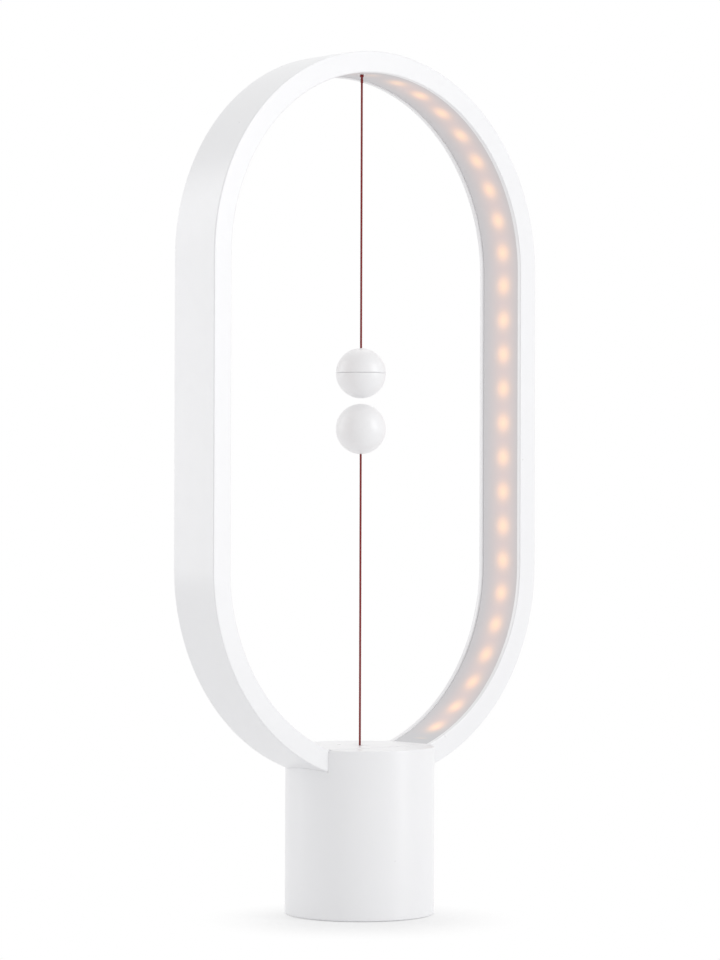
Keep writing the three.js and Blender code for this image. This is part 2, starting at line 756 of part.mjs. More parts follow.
// Routes of the two strings, from where each leaves the lamp to its knot in a ball
const upperStringRoute = [
  [0, 0, 392.2], [0, 0, 383], [0, 0, 374], [0, 0, 365], [0, 0, 356], [0, 0, 347], [0, 0, 338], [0, 0, 329],
  [0, 0, 320], [0, 0, 311], [0, 0, 302], [0, 0, 293], [0, 0, 284], [0, 0, 275], [0, 0, 269], [0, 0, 263.3],
];
const lowerStringRoute = [
  [0, 0, 79.3], [0, 0, 88], [0, 0, 97], [0, 0, 106], [0, 0, 115], [0, 0, 124], [0, 0, 134], [0, 0, 144],
  [0, 0, 154], [0, 0, 164], [0, 0, 174], [0, 0, 184], [0, 0, 194], [0, 0, 203], [0, 0, 210], [0, 0, 217.4],
];

// Light lead from the strip's end to the board, inside the ring's foot and the base
const leadStart = stripEndAcross / 2 - ledLeadRadius;
const leadHeight = arcHeight(channelRadius, stripEndAcross / 2) + ledLeadRadius + fitGap;
const ledLeadRoute = [
  [leadStart, -ledLeadForward, leadHeight],
  [(leadStart + ledLeadOffset) / 2, -ledLeadForward, leadHeight],
  [ledLeadOffset + 2 * ledLeadRadius, -ledLeadForward, leadHeight],
  [ledLeadOffset, -ledLeadForward, leadHeight - 3 * ledLeadRadius],
  [ledLeadOffset, -ledLeadForward, ringSeat],
  [ledLeadOffset, -ledLeadForward, floorUnder],
  [ledLeadOffset, -ledLeadForward, switchTop],
  [ledLeadOffset, 0, switchBottom],
  [ledLeadOffset, boardFront + ledLeadRadius * 2, boardTop + 2 * boardPostHeight],
  [ledLeadOffset, boardFront + ledLeadRadius * 2, boardTop + fitGap],
];

// A switch lead leaves its terminal to the rear, under the bracket, and comes down on the board
function switchLeadRoute(x) {
  const high = switchBottom - terminalLength / 2;
  const low = boardTop + fitGap;
  const start = terminalWidth / 2 + fitGap;
  const drop = boardFront + 3 * switchLeadRadius;
  return [
    [x, start, high],
    [x, (start + drop) / 2, high],
    [x, drop - switchLeadRadius, high - switchLeadRadius],
    [x, drop, (high + low) / 2],
    [x, drop, low],
  ];
}

// The ring
piece('ring_housing', makeRingHousing(), whitePlastic);
piece('ring_diffuser', makeDiffuser(), frostedPlastic);
piece('light_strip', makeStrip(), stripBoard);
piece('top_eyelet', makeTopEyelet(), whitePlastic);

// The base and what closes it
piece('base_shell', makeBaseShell(), whitePlastic);
piece('foot_cover', makeCover(), whitePlastic);
piece('base_eyelet', makeBaseEyelet(), whitePlastic);
piece('bottom_plate', makeBottomPlate(), whitePlastic);
piece('foot_pad', makeFootPad(), greyRubber);
piece('ballast', makeBallast(), steel);

// The screws that close the base and hold the ballast and the ring
const bottomScrew = screw(screwRadius, screwHeadRadius, screwHeadHeight, bottomScrewLength);
pillarPlaces.forEach(([x, y], index) => {
  piece(`bottom_screw_${index + 1}`, bottomScrew, steel).position.set(x, y, bottomScrewSeat);
});
const ballastScrew = screw(screwRadius, screwHeadRadius, screwHeadHeight, ballastScrewLength - 2 * fitGap);
piece('ballast_screw', ballastScrew, steel).position.z = bottomScrewSeat;
const ringScrew = screw(screwRadius, screwHeadRadius, screwHeadHeight, ringScrewLength);
piece('ring_screw_left', ringScrew, steel).position.set(-ringScrewOffset, 0, floorUnder);
piece('ring_screw_right', ringScrew, steel).position.set(ringScrewOffset, 0, floorUnder);

// The switch works
piece('guide_sleeve', makeGuideSleeve(), brass);
piece('sleeve_nut', makeSleeveNut(), brass);
piece('plunger', makePlunger(), creamPlastic);
piece('return_spring', makeReturnSpring(), steel);
piece('switch_bracket', makeBracket(), steel);
const bracketScrew = screw(screwRadius, screwHeadRadius, screwHeadHeight, bracketScrewLength);
for (const [side, x] of [['left', -bracketScrewOffset], ['right', bracketScrewOffset]]) {
  const made = piece(`bracket_screw_${side}`, bracketScrew, steel);
  made.position.set(x, bracketScrewBack, floorUnder - bracketThickness);
}
piece('microswitch_body', makeSwitchBody(), blackPlastic);
piece('switch_lever', makeLever(), steel);
const leverPin = crossRod(leverPinRadius, -switchDepth / 2, switchDepth / 2, -leverArm, leverPivotHeight);
piece('lever_pin', leverPin, steel);
const buttonRod = rod(buttonRadius, switchTop - buttonDepth, switchTop + buttonProud, buttonPlace);
piece('switch_button', buttonRod, creamPlastic);
const switchScrew = screw(smallScrewRadius, smallScrewHeadRadius, smallScrewHeadHeight, switchScrewLength);
switchHoles.forEach((x, index) => {
  const made = piece(`switch_screw_${index + 1}`, switchScrew, steel);
  made.position.set(x, -switchDepth / 2, switchBottom + switchHoleHeight);
  made.rotation.x = -Math.PI / 2;
});
const switchMiddle = (switchLeft + switchRight) / 2;
['common', 'closing', 'opening'].forEach((name, index) => {
  const x = switchMiddle + (index - 1) * terminalSpacing;
  const half = terminalThickness / 2;
  const low = [x - half, -terminalWidth / 2, switchBottom - terminalLength];
  piece(`terminal_${name}`, block(low, [x + half, terminalWidth / 2, switchBottom]), brass);
});

// The circuit board, its posts, the inlet and the wires
piece('circuit_board', makeBoard(), greenBoard);
const boardScrew = screw(screwRadius, screwHeadRadius, screwHeadHeight, boardScrewLength);
postPlaces.forEach(([x, y], index) => {
  piece(`board_post_${index + 1}`, makePost(), creamPlastic).position.set(x, y, 0);
  const made = piece(`board_screw_${index + 1}`, boardScrew, steel);
  made.position.set(x, y, boardTop);
  made.rotation.x = Math.PI;
});
piece('power_inlet', makeInlet(), steel);
piece('inlet_tongue', makeInletTongue(), blackPlastic);
piece('light_lead', wire(ledLeadRoute, ledLeadRadius, 2 * leadSteps), redInsulation);
const commonLead = wire(switchLeadRoute(switchMiddle - terminalSpacing), switchLeadRadius, leadSteps);
piece('switch_lead_common', commonLead, redInsulation);
const closingLead = wire(switchLeadRoute(switchMiddle), switchLeadRadius, leadSteps);
piece('switch_lead_closing', closingLead, blackPlastic);

// The strings and the balls
piece('upper_string_knot', ball(upperKnotRadius, upperPivot), redString);
piece('upper_string', wire(upperStringRoute, stringDiameter / 2, stringSteps), redString);
addBall('upper', upperBallHeight, 1, seamChamfer);
piece('lower_string_knot', ball(lowerKnotRadius, lowerPivot), redString);
piece('lower_string', wire(lowerStringRoute, stringDiameter / 2, stringSteps), redString);
addBall('lower', lowerBallHeight, -1, 0);

export default lamp;
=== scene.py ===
# %% [markdown]
# The lamp is a flat oblong ring of white plastic that stands in a round base.
# A band of light runs round the inside of the ring, and two small balls hang and float in its
# middle on red strings. The hidden works of the switch come ready made from the frame, and this
# lesson makes all that shows: smooth plastic, the glow, the balls and the strings.

# %% Load the frame
import json
import math

import bmesh
import bpy
from mathutils import Matrix, Vector

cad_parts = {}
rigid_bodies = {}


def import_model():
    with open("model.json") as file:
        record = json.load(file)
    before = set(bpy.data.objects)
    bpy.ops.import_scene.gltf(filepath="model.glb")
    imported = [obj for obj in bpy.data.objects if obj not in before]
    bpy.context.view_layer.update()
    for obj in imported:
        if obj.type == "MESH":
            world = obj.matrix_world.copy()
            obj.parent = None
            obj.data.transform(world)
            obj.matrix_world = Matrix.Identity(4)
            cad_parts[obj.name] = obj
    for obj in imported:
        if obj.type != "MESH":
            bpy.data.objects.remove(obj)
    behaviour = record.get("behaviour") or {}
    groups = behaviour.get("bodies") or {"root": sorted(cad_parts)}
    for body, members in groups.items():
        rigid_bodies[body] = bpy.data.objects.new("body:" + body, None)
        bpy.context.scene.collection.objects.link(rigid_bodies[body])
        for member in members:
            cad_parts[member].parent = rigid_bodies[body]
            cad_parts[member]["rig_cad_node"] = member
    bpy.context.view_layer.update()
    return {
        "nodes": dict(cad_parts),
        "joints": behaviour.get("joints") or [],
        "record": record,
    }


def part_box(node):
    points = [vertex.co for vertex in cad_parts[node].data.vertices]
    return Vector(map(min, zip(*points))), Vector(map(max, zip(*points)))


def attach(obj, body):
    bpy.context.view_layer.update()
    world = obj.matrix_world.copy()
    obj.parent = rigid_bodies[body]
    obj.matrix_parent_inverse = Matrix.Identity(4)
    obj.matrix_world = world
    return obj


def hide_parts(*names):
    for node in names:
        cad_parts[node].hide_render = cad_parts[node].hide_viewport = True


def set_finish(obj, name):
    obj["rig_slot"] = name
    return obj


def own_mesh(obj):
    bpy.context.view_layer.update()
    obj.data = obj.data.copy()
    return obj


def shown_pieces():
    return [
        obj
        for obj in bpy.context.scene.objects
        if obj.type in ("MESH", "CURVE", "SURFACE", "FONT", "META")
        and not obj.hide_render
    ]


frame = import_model()
scene = bpy.context.scene
scene.view_settings.view_transform = "Standard"
for item in list(bpy.context.selected_objects):
    item.select_set(False)
print("pieces in the frame:", len(frame["nodes"]))

# %% [markdown]
# The camera stands where the photographer stood: to the left of the lamp's front, a little below
# the balls and about one and a half metres away. A long lens keeps the upright sides parallel.
# The camera is built from the three directions that it looks along, so that a tiny roll of the
# picture can be given as an angle too.

# %% Camera
CAMERA_TURN = math.radians(-40.657)
CAMERA_DISTANCE = 1.5766
CAMERA_HEIGHT = 0.19165
LOOK_TURN = math.radians(-40.646)
LOOK_UP = math.radians(0.424)
LOOK_ROLL = math.radians(0.175)
PICTURE_HEIGHT_PX = 960
FOCAL_PX = 3355.2
SENSOR_MM = 36

camera_data = bpy.data.cameras.new("camera")
camera_data.sensor_width = SENSOR_MM
camera_data.lens = FOCAL_PX * SENSOR_MM / PICTURE_HEIGHT_PX
camera = bpy.data.objects.new("camera", camera_data)
scene.collection.objects.link(camera)
ahead = Vector((
    -math.sin(LOOK_TURN) * math.cos(LOOK_UP),
    math.cos(LOOK_TURN) * math.cos(LOOK_UP),
    math.sin(LOOK_UP),
))
level = Vector((math.cos(LOOK_TURN), math.sin(LOOK_TURN), 0))
above = level.cross(ahead)
sideways = math.cos(LOOK_ROLL) * level + math.sin(LOOK_ROLL) * above
upwards = math.cos(LOOK_ROLL) * above - math.sin(LOOK_ROLL) * level
camera.matrix_world = Matrix((sideways, upwards, -ahead)).transposed().to_4x4()
camera.location = (
    CAMERA_DISTANCE * math.sin(CAMERA_TURN),
    -CAMERA_DISTANCE * math.cos(CAMERA_TURN),
    CAMERA_HEIGHT,
)
scene.camera = camera
print("camera at", [round(value, 4) for value in camera.location])

# %% [markdown]
# Modelling by hand means the same few moves again and again: add a primitive, go into edit mode,
# pick some points by their place, push or round them, and come back. These helpers name the moves.
# Each one first drops whatever is selected, because an operator works on all that is selected.

# %% Helpers for modelling
SMALL = 1e-5


def take(piece):
    """Makes a piece the only one selected, and the active one"""
    for item in list(bpy.context.selected_objects):
        item.select_set(False)
    piece.select_set(True)
    bpy.context.view_layer.objects.active = piece


def begin(name):
    """Names the primitive that was just added and puts its place into its mesh"""
    piece = bpy.context.object
    piece.name = name
    piece.data.name = name
    take(piece)
    bpy.ops.object.transform_apply(location=True, rotation=True, scale=True)
    return piece


def edit(piece):
    take(piece)
    bpy.ops.object.mode_set(mode="EDIT")


def leave():
    bpy.ops.object.mode_set(mode="OBJECT")


def pick_all(kind="VERT"):
    bpy.ops.mesh.select_mode(type=kind)
    bpy.ops.mesh.select_all(action="SELECT")


def pick(piece, kind, test):
    """In edit mode, selects the points, edges or faces whose corners all pass a test"""
    bpy.ops.mesh.select_mode(type=kind)
    bpy.ops.mesh.select_all(action="DESELECT")
    mesh = bmesh.from_edit_mesh(piece.data)
    for item in {"VERT": mesh.verts, "EDGE": mesh.edges, "FACE": mesh.faces}[kind]:
        corners = [item] if kind == "VERT" else item.verts
        item.select_set(all(test(corner.co) for corner in corners))
    bmesh.update_edit_mesh(piece.data)


def modify(piece, kind, **settings):
    """Adds a modifier, sets it and applies it"""
    take(piece)
    modifier = piece.modifiers.new(kind.lower(), kind)
    for key, value in settings.items():
        setattr(modifier, key, value)
    bpy.ops.object.modifier_apply(modifier=modifier.name)


def carve(piece, cutter, operation="DIFFERENCE"):
    """Cuts another piece away from this one, or joins it, and throws the other away"""
    modify(piece, "BOOLEAN", object=cutter, operation=operation, solver="EXACT")
    bpy.data.objects.remove(cutter)


def tube(name, radius, low, high, x=0.0, y=0.0, sides=64):
    """Upright round bar between two heights"""
    middle = (x, y, (low + high) / 2)
    bpy.ops.mesh.primitive_cylinder_add(vertices=sides, radius=radius, depth=high - low, location=middle)
    return begin(name)


def box(name, low, high):
    """Block between two corners"""
    low, high = Vector(low), Vector(high)
    bpy.ops.mesh.primitive_cube_add(size=1, location=(low + high) / 2, scale=high - low)
    return begin(name)


def round_edges(piece, radius, test, steps=3):
    """Rounds the edges whose two ends pass a test"""
    edit(piece)
    pick(piece, "EDGE", test)
    bpy.ops.mesh.bevel(offset=radius, segments=steps, affect="EDGES")
    leave()


def smooth(piece, angle=35):
    """Smooth shading up to an angle, with the large flat faces kept flat"""
    take(piece)
    bpy.ops.object.shade_smooth_by_angle(angle=math.radians(angle))
    modify(piece, "WEIGHTED_NORMAL", keep_sharp=True)


def seat(piece, body, slot, *nodes):
    """Lets a finished piece ride on a body and stand for its plain solids"""
    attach(piece, body)
    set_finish(piece, slot)
    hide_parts(*nodes)
    piece.data.materials.clear()
    print(piece.name, "has", len(piece.data.polygons), "faces and rides on", body)
    return piece


# %% [markdown]
# The strings come before everything else, because their length is a fact of the object: the photo
# shows both from end to end. Each is a thin cord of three plies that are laid round each other.
# A plain round tube would look like wire, so the section is a ring with three lobes, and a Screw
# modifier lifts it along the string while it turns. That gives real plies with few points. Loose
# fibres make a string look a little thicker than it measures. Below its knot the upper one is
# thicker still, where its end is tied back, but it has a thin neck right at the knot, so that it
# can swing up beside the light band without touching it.

# %% Routes of the strings
STRING_DIAMETER = 0.0009
UPPER_ROUTE = [
    (0, 0, 0.3931), (0, 0, 0.383), (0, 0, 0.374), (0, 0, 0.365), (0, 0, 0.356), (0, 0, 0.347), (0, 0, 0.338),
    (0, 0, 0.329), (0, 0, 0.320), (0, 0, 0.311), (0, 0, 0.302), (0, 0, 0.293), (0, 0, 0.284), (0, 0, 0.275),
    (0, 0, 0.269), (0, 0, 0.2633),
]
LOWER_ROUTE = [
    (0, 0, 0.0785), (0, 0, 0.088), (0, 0, 0.097), (0, 0, 0.106), (0, 0, 0.115), (0, 0, 0.124), (0, 0, 0.134),
    (0, 0, 0.144), (0, 0, 0.154), (0, 0, 0.164), (0, 0, 0.174), (0, 0, 0.184), (0, 0, 0.194), (0, 0, 0.203),
    (0, 0, 0.210), (0, 0, 0.2174),
]
PLY_COUNT = 3
PLY_DEPTH = 0.12
FLUFF = 1.15
STRING_SIDES = 18
LAY_LENGTH = 0.0024
STEPS_PER_LAY = 14
TIED_LENGTH = 0.0030
TIED_WIDTH = 1.25
NECK_LENGTH = 0.0007
NECK_WIDTH = 0.6


def laid_string(name, route, tied=False):
    """Twisted string along an upright route, thicker at its top if its end is tied back there"""
    low, high = sorted((route[0][2], route[-1][2]))
    radius = STRING_DIAMETER / 2 * FLUFF
    bpy.ops.mesh.primitive_circle_add(vertices=STRING_SIDES, radius=radius, location=(0, 0, low))
    piece = begin(name)
    for point in piece.data.vertices:
        turn = math.atan2(point.co.y, point.co.x)
        share = 1 - PLY_DEPTH * (0.5 - 0.5 * math.cos(PLY_COUNT * turn))
        point.co.x *= share
        point.co.y *= share
    lays = round((high - low) / LAY_LENGTH)
    modify(
        piece, "SCREW", axis="Z", angle=math.tau, iterations=lays, screw_offset=(high - low) / lays,
        steps=STEPS_PER_LAY, render_steps=STEPS_PER_LAY, use_merge_vertices=False,
    )
    edit(piece)
    pick_all()
    bpy.ops.mesh.fill_holes(sides=0)
    bpy.ops.mesh.normals_make_consistent(inside=False)
    leave()
    if tied:
        for point in piece.data.vertices:
            below = high - point.co.z
            if below < TIED_LENGTH:
                width = NECK_WIDTH if below < NECK_LENGTH else TIED_WIDTH
                point.co.x *= width
                point.co.y *= width
    smooth(piece, 60)
    return piece


def route_length(route):
    return sum((Vector(b) - Vector(a)).length for a, b in zip(route, route[1:]))


# %% The two strings
upper_cord = laid_string("upper_red_string", UPPER_ROUTE, tied=True)
seat(upper_cord, "upper_ball", "string", "upper_string")
lower_cord = laid_string("lower_red_string", LOWER_ROUTE)
seat(lower_cord, "lower_string", "string", "lower_string")
lower_length = route_length(LOWER_ROUTE)

# %% [markdown]
# When the magnets are parted the lower ball drops onto the base and its string goes slack. A limp
# string would fall in loops, which no rigid body can do. Here the share of the string that is left
# when the ball has come down is worked out, and the finished string gets a mesh of its own.

# %% Slack of the lower string
fall = next(joint for joint in frame["joints"] if joint["name"] == "lower_ball_fall")
fall_travel = max(abs(limit) for limit in fall["range_m"])
string_left = 1 - fall_travel / lower_length
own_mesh(lower_cord)
print("share of the lower string that is left:", round(string_left, 3))

# %% [markdown]
# A knot holds each string in its eyelet. It is a barrel knot: the string goes three times round
# itself. The same Screw modifier makes it, this time from a small round section that stands off
# the axis, so that the section climbs in a tight helix. Its ends are closed where the string
# would go on. The lower knot is pulled flatter, so that it stays down in its eyelet.

# %% Knots
KNOT_TURNS = 3
KNOT_STRAND = 0.00036
KNOT_STEPS = 20
STRAND_SIDES = 10
LOWER_KNOT_SHARE = 0.8


def barrel_knot(name, node, body, share=1.0):
    """Tight helix of string in the place of a plain round knot, up to a share of its height"""
    low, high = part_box(node)
    outer = (high.x - low.x) / 2
    bottom = low.z + KNOT_STRAND
    turn_height = (share * (high.z - low.z) - 2 * KNOT_STRAND) / KNOT_TURNS
    bpy.ops.mesh.primitive_circle_add(
        vertices=STRAND_SIDES, radius=KNOT_STRAND, location=(outer - KNOT_STRAND, 0, bottom),
        rotation=(math.pi / 2, 0, 0),
    )
    piece = begin(name)
    modify(
        piece, "SCREW", axis="Z", angle=math.tau, iterations=KNOT_TURNS, screw_offset=turn_height,
        steps=KNOT_STEPS, render_steps=KNOT_STEPS, use_merge_vertices=False,
    )
    edit(piece)
    pick_all()
    bpy.ops.mesh.fill_holes(sides=0)
    bpy.ops.mesh.normals_make_consistent(inside=False)
    leave()
    smooth(piece, 60)
    return seat(piece, body, "string", node)


barrel_knot("upper_barrel_knot", "upper_string_knot", "upper_knot")
barrel_knot("lower_barrel_knot", "lower_string_knot", "lower_knot", LOWER_KNOT_SHARE)

# %% [markdown]
# The ring is one long channel, bent into an oblong. Its section is drawn once, as a plane that is
# cut by three lines and loses the middle, so that a U remains. The corners of the U are rounded
# while it is still flat, which is far easier than to round them after the bend. Then the outline
# travels: up the right side, round the top by Spin, down the left side and round the bottom. Last,
# holes go through its foot, for the brass sleeve of the switch, two screws and the lamp's lead.

# %% Sizes of the ring
ring_low, ring_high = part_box("ring_housing")
RING_THICKNESS = 0.010
RING_RIM = 0.0025
RING_WEB = 0.0035
RING_ROUNDING = 0.0006
ARC_STEPS = 96
ring_depth = ring_high.y - ring_low.y
ring_outer = (ring_high.x - ring_low.x) / 2
ring_inner = ring_outer - RING_THICKNESS
channel_radius = ring_outer - RING_WEB
channel_half = ring_depth / 2 - RING_RIM
lower_arc = ring_low.z + ring_outer
upper_arc = ring_high.z - ring_outer
straight = upper_arc - lower_arc
HOLE_GAP = 0.0003
SLEEVE_RADIUS = 0.0036
SCREW_RADIUS = 0.0014
LEAD_RADIUS = 0.0011
LEAD_X = 0.009
LEAD_Y = -0.008
ring_screw_low, ring_screw_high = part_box("ring_screw_right")
ring_screw_x = abs(ring_screw_low.x + ring_screw_high.x) / 2
print("ring arcs at", round(lower_arc, 4), "and", round(upper_arc, 4), "radius", round(ring_outer, 4))

# %% Section and sweep


def rectangle(name, inner, outer, half_depth):
    """Flat plate across the ring's right side, at the height of the lower arc's middle"""
    middle = ((inner + outer) / 2, 0, lower_arc)
    bpy.ops.mesh.primitive_plane_add(size=1, location=middle)
    bpy.context.object.scale = (outer - inner, 2 * half_depth, 1)
    return begin(name)


def travel_up(height):
    bpy.ops.mesh.extrude_region_move(TRANSFORM_OT_translate={"value": (0, 0, height)})


def bend(height, angle):
    """Takes the picked outline round one of the ring's arcs"""
    steps = max(1, round(abs(angle) / math.pi * ARC_STEPS))
    axis = (0, 1 if angle > 0 else -1, 0)
    bpy.ops.mesh.spin(steps=steps, angle=abs(angle), center=(0, 0, height), axis=axis)


def drill_foot(piece, low, high):
    """Holes for the sleeve, the two screws and the lead, all through the foot of the ring"""
    carve(piece, tube("sleeve_hole", SLEEVE_RADIUS + HOLE_GAP, low, high, sides=64))
    for side in (-1, 1):
        carve(piece, tube("screw_hole", SCREW_RADIUS + HOLE_GAP, low, high, side * ring_screw_x, sides=24))
    carve(piece, tube("lead_hole", LEAD_RADIUS + HOLE_GAP, low, high, LEAD_X, LEAD_Y, 24))


# %% Ring
ring = rectangle("ring_frame", ring_inner, ring_outer, ring_depth / 2)
edit(ring)
for place, direction in (
    ((channel_radius, 0, lower_arc), (1, 0, 0)),
    ((0, channel_half, lower_arc), (0, 1, 0)),
    ((0, -channel_half, lower_arc), (0, 1, 0)),
):
    pick_all("FACE")
    bpy.ops.mesh.bisect(plane_co=place, plane_no=direction)
pick(ring, "FACE", lambda p: p.x < channel_radius + SMALL and abs(p.y) < channel_half + SMALL)
bpy.ops.mesh.delete(type="FACE")
pick_all("FACE")
bpy.ops.mesh.dissolve_limited(angle_limit=math.radians(1))
pick_all("VERT")
bpy.ops.mesh.bevel(offset=RING_ROUNDING, segments=4, affect="VERTICES")
pick_all("FACE")
bpy.ops.mesh.delete(type="ONLY_FACE")
pick_all("EDGE")
travel_up(straight)
bend(upper_arc, math.pi)
travel_up(-straight)
bend(lower_arc, math.pi)
pick_all("VERT")
bpy.ops.mesh.remove_doubles(threshold=SMALL)
bpy.ops.mesh.normals_make_consistent(inside=False)
leave()
drill_foot(ring, ring_low.z - RING_WEB, lower_arc - ring_inner)
smooth(ring)
seat(ring, "lamp_stand", "white_plastic", "ring_housing")

# %% [markdown]
# The band of light is a thin strip of frosted plastic that lies half a millimetre deep in the
# channel. It goes the same way as the ring but stops at the base. It starts as an outline on the
# right side: Spin takes it down to its first end, and then the upper copy goes round to the other.
# A hole at the top lets the eyelet of the upper string through.
# Two numbers are stored on its points: how far along the strip of diodes they are, and how far
# across the band. The glow is drawn with them later, so it follows the bend.

# %% Band of light
BAND_RECESS = 0.0005
BAND_THICKNESS = 0.002
BAND_SIDE_GAP = 0.00012
BAND_END_ACROSS = 0.0215
BAND_CORNER = 0.0002
DIODE_RADIUS = 0.095
band_inner = ring_inner + BAND_RECESS
band_outer = band_inner + BAND_THICKNESS
TOP_EYELET_OUTER = 0.0022
TOP_HOLE_GAP = 0.00004
end_turn = math.pi / 2 - math.asin(BAND_END_ACROSS / band_inner)

band = rectangle("light_band", band_inner, band_outer, channel_half - BAND_SIDE_GAP)
edit(band)
pick_all("VERT")
bpy.ops.mesh.bevel(offset=BAND_CORNER, segments=2, affect="VERTICES")
pick_all("FACE")
bpy.ops.mesh.delete(type="ONLY_FACE")
pick_all("EDGE")
bend(lower_arc, -end_turn)
pick(band, "EDGE", lambda p: abs(p.z - lower_arc) < SMALL)
travel_up(straight)
bend(upper_arc, math.pi)
travel_up(-straight)
bend(lower_arc, end_turn)
pick_all("VERT")
bpy.ops.mesh.remove_doubles(threshold=SMALL)
bpy.ops.mesh.fill_holes(sides=0)
bpy.ops.mesh.normals_make_consistent(inside=False)
leave()
carve(band, tube("eyelet_hole", TOP_EYELET_OUTER + TOP_HOLE_GAP, upper_arc, ring_high.z, sides=64))


def distance_along(point):
    """Distance of a point along the strip of diodes, up the right side from its middle"""
    if point.z > upper_arc:
        return straight / 2 + DIODE_RADIUS * math.atan2(point.z - upper_arc, point.x)
    if point.z < lower_arc and point.x > 0:
        return -straight / 2 - DIODE_RADIUS * math.atan2(lower_arc - point.z, point.x)
    if point.x > 0:
        return point.z - (lower_arc + upper_arc) / 2
    left = straight / 2 + math.pi * DIODE_RADIUS
    if point.z >= lower_arc:
        return left + upper_arc - point.z
    return left + straight + DIODE_RADIUS * math.atan2(lower_arc - point.z, -point.x)


along = band.data.attributes.new("along", "FLOAT", "POINT")
across = band.data.attributes.new("across", "FLOAT", "POINT")
for point in band.data.vertices:
    along.data[point.index].value = distance_along(point.co)
    across.data[point.index].value = point.co.y
smooth(band)
seat(band, "lamp_stand", "diffuser", "ring_diffuser")

# %% [markdown]
# The base is a thick-walled cup that stands upside down. It is cut as a pattern maker would cut
# it: a turned body with softened rims, less the room inside, plus four screw pillars, less the
# curved slot in which the ring sits, and less the holes for what comes up through its floor.
# Booleans do this best, because each cutter is a simple shape at a known place, and the rims are
# rounded first, while they are still plain circles. The lower rim nearly touches the table, as the
# thin dark line under the lamp in the photo shows, and only the rubber pad stands on it.

# %% Body of the base
shell_low, shell_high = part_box("base_shell")
plate_low, plate_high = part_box("bottom_plate")
screw_low, screw_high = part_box("bottom_screw_1")
base_radius = (shell_high.x - shell_low.x) / 2
base_top = shell_high.z
BASE_WALL = 0.0025
BASE_ROOF = 0.003
SLOT_GAP = 0.00003
SLOT_SIDE_WALL = 0.0028
SLOT_FLOOR = 0.005
PILLAR_RADIUS = 0.0042
SCREW_HOLE = 0.0017
BASE_SIDES = 160
ROOM_SIDES = 128
BEND_SIDES = 512
TOP_ROUNDING = 0.0007
FOOT_ROUNDING = 0.0005
FOOT_CLEARANCE = 0.00025
base_inner = base_radius - BASE_WALL
floor_under = ring_low.z - HOLE_GAP - SLOT_FLOOR
bracket_screw_low, bracket_screw_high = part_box("bracket_screw_right")

base = tube("base_body", base_radius, FOOT_CLEARANCE, base_top, sides=BASE_SIDES)
round_edges(base, TOP_ROUNDING, lambda p: p.z > base_top - SMALL, 4)
round_edges(base, FOOT_ROUNDING, lambda p: p.z < FOOT_CLEARANCE + SMALL, 4)
room = tube("room", base_inner, shell_low.z - BASE_WALL, base_top - BASE_ROOF, sides=ROOM_SIDES)
side_wall = ring_depth / 2 + SLOT_SIDE_WALL
deck = box("deck", (-base_radius, -side_wall, floor_under), (base_radius, side_wall, base_top))
carve(room, deck)
carve(base, room)
pillar_x = (screw_low.x + screw_high.x) / 2
pillar_y = (screw_low.y + screw_high.y) / 2
for side_x, side_y in ((1, 1), (-1, 1), (-1, -1), (1, -1)):
    x, y = side_x * pillar_x, side_y * pillar_y
    pillar = tube("pillar", PILLAR_RADIUS, plate_high.z, base_top - BASE_ROOF / 2, x, y, 32)
    carve(base, pillar, "UNION")
    carve(base, tube("hole", SCREW_HOLE, plate_low.z, screw_high.z + SLOT_GAP, x, y, 24))
bpy.ops.mesh.primitive_cylinder_add(
    vertices=BEND_SIDES, radius=ring_outer + SLOT_GAP, depth=ring_depth + 2 * SLOT_GAP,
    location=(0, 0, lower_arc), rotation=(math.pi / 2, 0, 0),
)
carve(base, begin("slot"))
drill_foot(base, floor_under - SLOT_FLOOR, base_top)
bracket_x = abs(bracket_screw_low.x + bracket_screw_high.x) / 2
bracket_y = (bracket_screw_low.y + bracket_screw_high.y) / 2
bracket_top = bracket_screw_high.z + HOLE_GAP
for side in (-1, 1):
    carve(base, tube(
        "bracket_hole", SCREW_RADIUS + HOLE_GAP, floor_under - SLOT_FLOOR, bracket_top,
        side * bracket_x, bracket_y, 24,
    ))

# %% [markdown]
# The power inlet is a small flat socket at the back. Its opening in the wall has round ends, like
# the plug that goes in. A block with its four long edges rounded makes both the opening and the
# metal mouth, which is then hollowed with inset and a push inwards.

# %% Opening for the power inlet
inlet_low, inlet_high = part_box("power_inlet")
tongue_low, tongue_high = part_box("inlet_tongue")
INLET_GAP = 0.0003
INLET_WALL = 0.0004
TONGUE_ROUNDING = 0.0001
ROUND_END = 0.98


def rounded_bar(name, low, high, radius):
    """Block along Y whose four long edges are rounded"""
    piece = box(name, low, high)
    edit(piece)
    bpy.ops.mesh.select_mode(type="EDGE")
    bpy.ops.mesh.select_all(action="DESELECT")
    mesh = bmesh.from_edit_mesh(piece.data)
    for item in mesh.edges:
        item.select_set(abs(item.verts[0].co.y - item.verts[1].co.y) > SMALL)
    bmesh.update_edit_mesh(piece.data)
    bpy.ops.mesh.bevel(offset=radius, segments=6, affect="EDGES")
    leave()
    return piece


spread = Vector((INLET_GAP, 0, INLET_GAP))
opening_low = Vector((inlet_low.x, base_inner - BASE_WALL, inlet_low.z)) - spread
opening_high = Vector((inlet_high.x, base_radius + BASE_WALL, inlet_high.z)) + spread
half_height = (opening_high.z - opening_low.z) / 2
carve(base, rounded_bar("inlet_opening", opening_low, opening_high, half_height * ROUND_END))
smooth(base, 30)
seat(base, "lamp_stand", "white_plastic", "base_shell")

